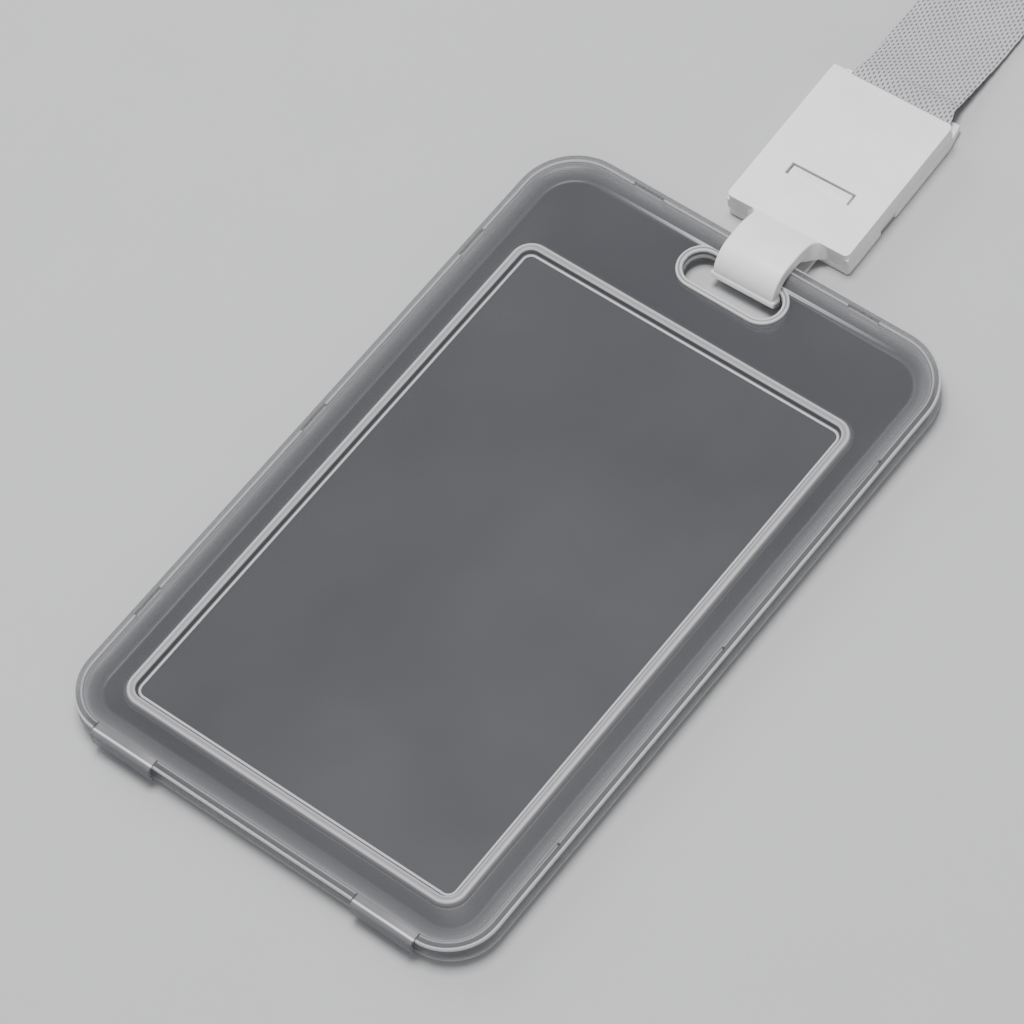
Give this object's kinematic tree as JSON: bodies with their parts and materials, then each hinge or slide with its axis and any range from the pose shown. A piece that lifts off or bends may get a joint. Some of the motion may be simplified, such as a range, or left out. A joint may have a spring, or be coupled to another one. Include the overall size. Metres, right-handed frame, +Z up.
{
  "type": "lanyard badge holder",
  "caption": "Hinged translucent card case with a raised window frame, a folded plastic strap clip through its slot and a flat woven ribbon lanyard.",
  "frame": {"origin": "on the table under the middle of the case and clip together, measured without the lanyard ribbon", "axes": "+Z up out of the front cover, +Y along the case towards the strap clip, +X across the case"},
  "size_m": [0.1353, 0.2729, 0.0154],
  "materials": {
    "frosted_plastic": "smooth translucent polypropylene",
    "hinge_plastic": "stress-whitened translucent polypropylene",
    "white_plastic": "satin moulded",
    "woven_ribbon": "plain woven polyester, cross ribbed"
  },
  "bodies": {
    "rear_cover": {"rear_cover": "frosted_plastic", "living_hinge_left": "hinge_plastic", "living_hinge_right": "hinge_plastic"},
    "front_cover": {"front_cover": "frosted_plastic"},
    "clip_arms": {"clip_upper_arm": "white_plastic", "clip_fold": "white_plastic", "clip_lower_arm": "white_plastic"},
    "clip_front": {"clip_front_plate": "white_plastic"},
    "clip_rear": {"clip_rear_plate": "white_plastic", "clip_catch_bar": "white_plastic", "lanyard_lower_leg": "woven_ribbon", "lanyard_upper_leg": "woven_ribbon", "lanyard_twist": "woven_ribbon", "lanyard_coil": "woven_ribbon"}
  },
  "joints": [
    {"name": "cover_open", "type": "hinge", "parent": "rear_cover", "child": "front_cover", "pos_m": [0, -0.0699, 0.0044], "axis": [1, 0, 0], "range_deg": [0, 180], "deforming": ["clip_upper_arm", "clip_fold", "clip_lower_arm"]},
    {"name": "clip_slide", "type": "slide", "parent": "rear_cover", "child": "clip_arms", "axis": [1, 0, 0], "range_m": [-0.0028, 0.0004]},
    {"name": "clip_swing", "type": "hinge", "parent": "clip_arms", "child": "clip_front", "pos_m": [0.00112, 0.0362, 0.00275], "axis": [0.9996, 0.0297, 0], "range_deg": [-90, 90], "deforming": ["clip_upper_arm", "clip_fold", "clip_lower_arm"]},
    {"name": "clip_open", "type": "hinge", "parent": "clip_front", "child": "clip_rear", "pos_m": [0.00093, 0.04265, 0.0007], "axis": [-0.9996, -0.0297, 0], "range_deg": [0, 35], "deforming": ["clip_lower_arm"]}
  ]
}
